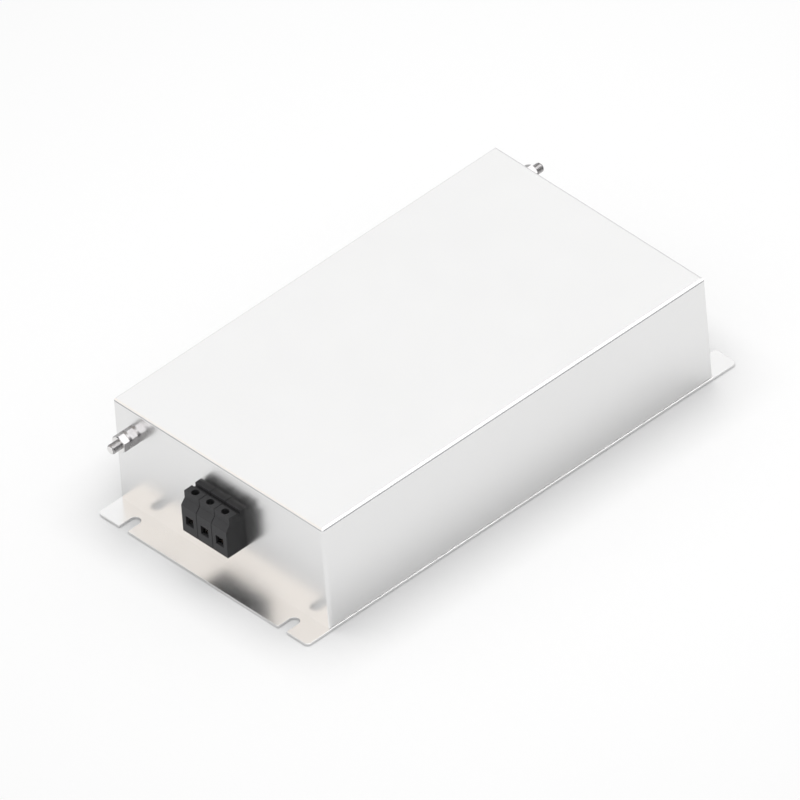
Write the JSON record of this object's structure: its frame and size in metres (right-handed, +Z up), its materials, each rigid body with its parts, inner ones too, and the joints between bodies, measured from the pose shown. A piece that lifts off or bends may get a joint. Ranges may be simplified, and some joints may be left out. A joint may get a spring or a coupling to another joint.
{
  "type": "emi line filter",
  "caption": "Mains interference filter in a bright steel case on a slotted base plate, with a screw terminal block and an earth stud at each end.",
  "frame": {"origin": "centre of the underside of the base plate", "axes": "+X across the case, +Y along it from the line end to the load end, +Z up"},
  "size_m": [0.14, 0.2714, 0.0605],
  "materials": {
    "case_steel": null,
    "terminal_plastic": null,
    "clamp_steel": null,
    "clamp_screw_steel": null,
    "bar_copper": null,
    "stud_steel": null,
    "nut_steel": null,
    "washer_steel": null,
    "screw_steel": null,
    "lead_sheath": null,
    "sheet_film": null,
    "standoff_steel": null,
    "board_laminate": null,
    "choke_plastic": null,
    "core_ceramic": null,
    "winding_copper": null,
    "x_capacitor_case": null,
    "y_capacitor_case": null,
    "resistor_body": null
  },
  "bodies": {
    "root": {"base_plate": "case_steel", "cover": "case_steel", "cover_screws": "screw_steel", "line_terminal_housing": "terminal_plastic", "load_terminal_housing": "terminal_plastic", "line_cage_1": "clamp_steel", "line_cage_2": "clamp_steel", "line_cage_3": "clamp_steel", "load_cage_1": "clamp_steel", "load_cage_2": "clamp_steel", "load_cage_3": "clamp_steel", "line_bar_1": "bar_copper", "line_bar_2": "bar_copper", "line_bar_3": "bar_copper", "load_bar_1": "bar_copper", "load_bar_2": "bar_copper", "load_bar_3": "bar_copper", "clamp_screws": "clamp_screw_steel", "line_earth_stud": "stud_steel", "load_earth_stud": "stud_steel", "flat_washers": "washer_steel", "inner_nuts": "nut_steel", "split_washers": "washer_steel", "outer_nuts": "nut_steel", "line_earth_lead": "lead_sheath", "load_earth_lead": "lead_sheath", "insulating_sheet": "sheet_film", "board_standoffs": "standoff_steel", "circuit_board": "board_laminate", "board_screws": "screw_steel", "line_choke_base": "choke_plastic", "load_choke_base": "choke_plastic", "line_choke_core": "core_ceramic", "load_choke_core": "core_ceramic", "line_winding_1": "winding_copper", "line_winding_2": "winding_copper", "line_winding_3": "winding_copper", "load_winding_1": "winding_copper", "load_winding_2": "winding_copper", "load_winding_3": "winding_copper", "line_x_capacitor_1": "x_capacitor_case", "line_x_capacitor_2": "x_capacitor_case", "line_x_capacitor_3": "x_capacitor_case", "load_x_capacitor_1": "x_capacitor_case", "load_x_capacitor_2": "x_capacitor_case", "load_x_capacitor_3": "x_capacitor_case", "y_capacitor_1": "y_capacitor_case", "y_capacitor_2": "y_capacitor_case", "y_capacitor_3": "y_capacitor_case", "discharge_resistor_1": "resistor_body", "discharge_resistor_2": "resistor_body", "discharge_resistor_3": "resistor_body"}
  },
  "joints": []
}
